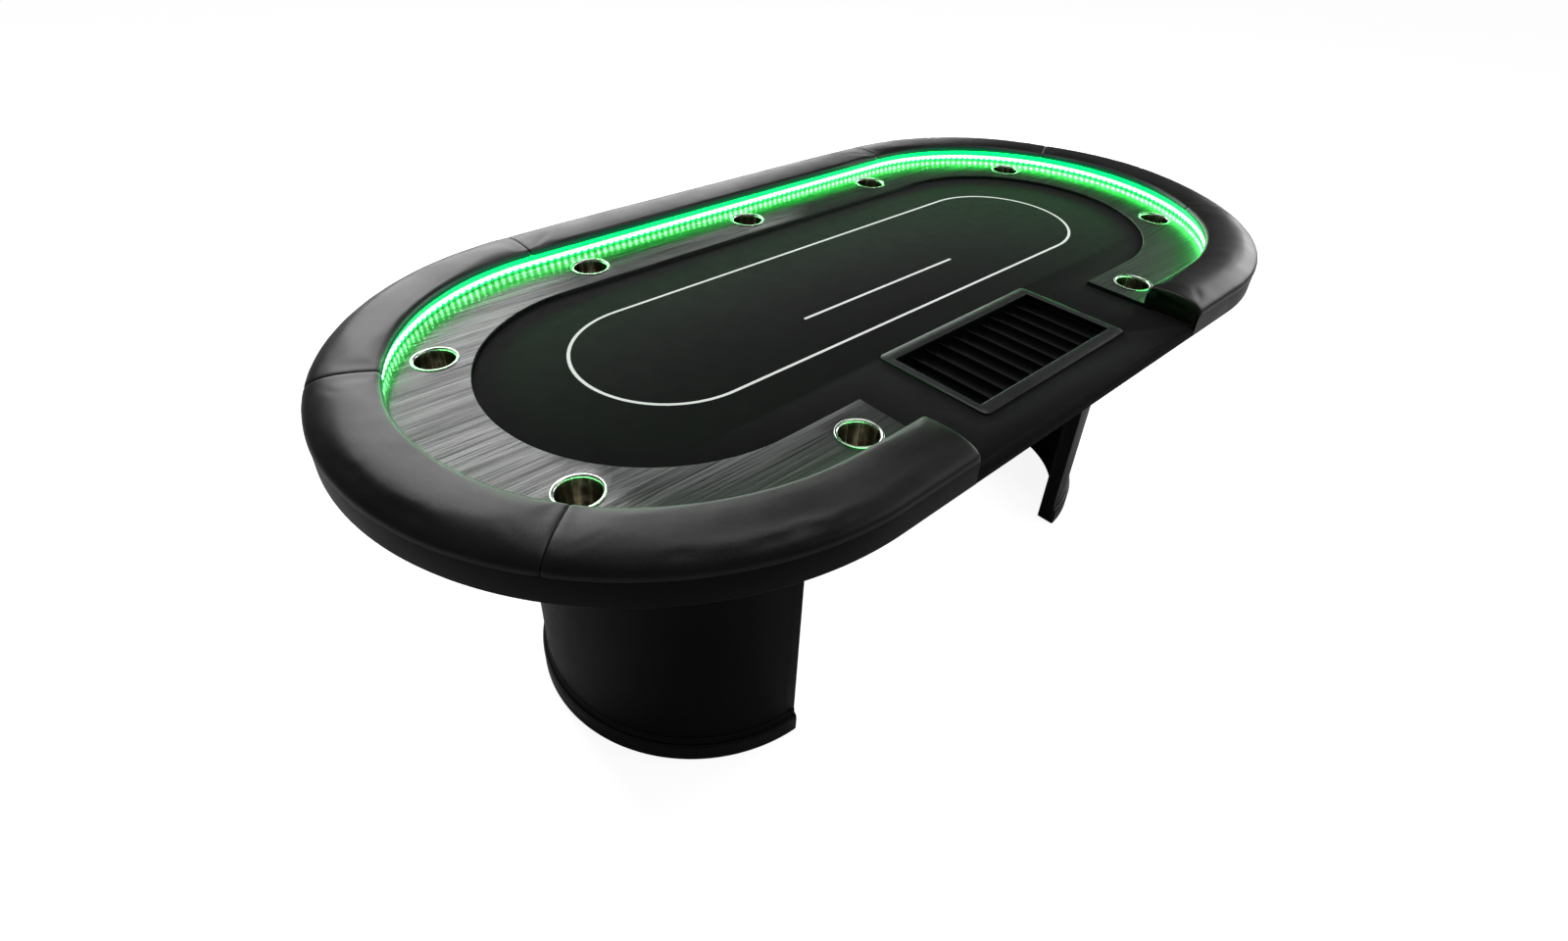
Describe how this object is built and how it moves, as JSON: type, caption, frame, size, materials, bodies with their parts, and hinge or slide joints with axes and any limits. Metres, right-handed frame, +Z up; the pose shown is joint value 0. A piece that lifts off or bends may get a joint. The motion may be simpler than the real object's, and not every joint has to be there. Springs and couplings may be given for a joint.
{
  "type": "poker table",
  "caption": "Oval poker table with a padded rail, lit inner wall, wooden race track with cup holders, dealer chip tray and two D-shaped shell legs.",
  "frame": {"origin": "on the floor under the middle of the top", "axes": "+X along the table, -Y towards the dealer, +Z up"},
  "size_m": [2.196, 1.128, 0.8],
  "materials": {
    "deck_mdf": "black-stained board",
    "track_veneer": "black-stained oak veneer, semi-gloss",
    "foam": "soft foam sheet",
    "table_cloth": "smooth speed cloth, matte",
    "hardwood": "planed, unfinished",
    "apron_vinyl": "wrapped black vinyl",
    "channel_plastic": "satin wall lit by the strip",
    "plywood": "plain birch ply",
    "rail_vinyl": "grained black vinyl, satin",
    "cup_steel": "drawn stainless, brushed inside",
    "tray_frame_metal": "black satin paint",
    "tray_pan_plastic": "satin black",
    "bolt_steel": "zinc plated",
    "black_plastic": "fine moulded texture",
    "circuit_board": "solder mask",
    "switch_red": "glossy",
    "inlet_plastic": "glossy",
    "lead_rubber": "matte",
    "clip_plastic": "natural nylon",
    "leg_lacquer": "black lacquer, satin",
    "plinth_lacquer": "black lacquer, satin",
    "glide_plastic": "hard nylon",
    "led_light": "flexible strip with coated light chips"
  },
  "bodies": {
    "table": {"deck_end_boards": "deck_mdf", "deck_far_board": "deck_mdf", "deck_near_board": "deck_mdf", "race_track": "track_veneer", "cloth_underlay": "foam", "playing_cloth": "table_cloth", "dealer_edge": "hardwood", "apron_band": "apron_vinyl", "light_channel": "channel_plastic", "led_strip": "led_light", "rail_base_far": "plywood", "rail_base_left": "plywood", "rail_base_right": "plywood", "deck_battens": "hardwood", "rail_bolts": "bolt_steel", "controller_case": "black_plastic", "controller_lid": "black_plastic", "controller_board": "circuit_board", "power_inlet": "inlet_plastic", "led_lead": "lead_rubber", "lead_clips": "clip_plastic", "rail_pad_far": "rail_vinyl", "rail_pad_far_left": "rail_vinyl", "rail_pad_far_right": "rail_vinyl", "rail_pad_left": "rail_vinyl", "rail_pad_right": "rail_vinyl", "rail_pad_near_left": "rail_vinyl", "rail_pad_near_right": "rail_vinyl", "left_leg_outer_skin": "leg_lacquer", "left_leg_inner_skin": "leg_lacquer", "left_leg_end_posts": "leg_lacquer", "left_leg_studs": "plywood", "left_leg_top_rib": "plywood", "left_leg_bottom_rib": "plywood", "left_leg_plinth": "plinth_lacquer", "left_leg_top_plate": "hardwood", "left_leg_bolts": "bolt_steel", "left_leg_glides": "glide_plastic", "right_leg_outer_skin": "leg_lacquer", "right_leg_inner_skin": "leg_lacquer", "right_leg_end_posts": "leg_lacquer", "right_leg_studs": "plywood", "right_leg_top_rib": "plywood", "right_leg_bottom_rib": "plywood", "right_leg_plinth": "plinth_lacquer", "right_leg_top_plate": "hardwood", "right_leg_bolts": "bolt_steel", "right_leg_glides": "glide_plastic"},
    "cup_1": {"cup_holder_1": "cup_steel"},
    "cup_2": {"cup_holder_2": "cup_steel"},
    "cup_3": {"cup_holder_3": "cup_steel"},
    "cup_4": {"cup_holder_4": "cup_steel"},
    "cup_5": {"cup_holder_5": "cup_steel"},
    "cup_6": {"cup_holder_6": "cup_steel"},
    "cup_7": {"cup_holder_7": "cup_steel"},
    "cup_8": {"cup_holder_8": "cup_steel"},
    "cup_9": {"cup_holder_9": "cup_steel"},
    "chip_tray": {"chip_tray_frame": "tray_frame_metal", "chip_tray_pan": "tray_pan_plastic"},
    "rocker": {"rocker_switch": "switch_red"}
  },
  "joints": [
    {"name": "cup_1_lift", "type": "slide", "parent": "table", "child": "cup_1", "axis": [0, 0, 1], "range_m": [0, 0.07]},
    {"name": "cup_2_lift", "type": "slide", "parent": "table", "child": "cup_2", "axis": [0, 0, 1], "range_m": [0, 0.07]},
    {"name": "cup_3_lift", "type": "slide", "parent": "table", "child": "cup_3", "axis": [0, 0, 1], "range_m": [0, 0.07]},
    {"name": "cup_4_lift", "type": "slide", "parent": "table", "child": "cup_4", "axis": [0, 0, 1], "range_m": [0, 0.07]},
    {"name": "cup_5_lift", "type": "slide", "parent": "table", "child": "cup_5", "axis": [0, 0, 1], "range_m": [0, 0.07]},
    {"name": "cup_6_lift", "type": "slide", "parent": "table", "child": "cup_6", "axis": [0, 0, 1], "range_m": [0, 0.07]},
    {"name": "cup_7_lift", "type": "slide", "parent": "table", "child": "cup_7", "axis": [0, 0, 1], "range_m": [0, 0.07]},
    {"name": "cup_8_lift", "type": "slide", "parent": "table", "child": "cup_8", "axis": [0, 0, 1], "range_m": [0, 0.07]},
    {"name": "cup_9_lift", "type": "slide", "parent": "table", "child": "cup_9", "axis": [0, 0, 1], "range_m": [0, 0.07]},
    {"name": "chip_tray_lift", "type": "slide", "parent": "table", "child": "chip_tray", "axis": [0, 0, 1], "range_m": [0, 0.05]},
    {"name": "rocker_press", "type": "hinge", "parent": "table", "child": "rocker", "pos_m": [-0.312, -0.53, 0.7125], "axis": [1, 0, 0], "range_deg": [-16, 0]}
  ]
}
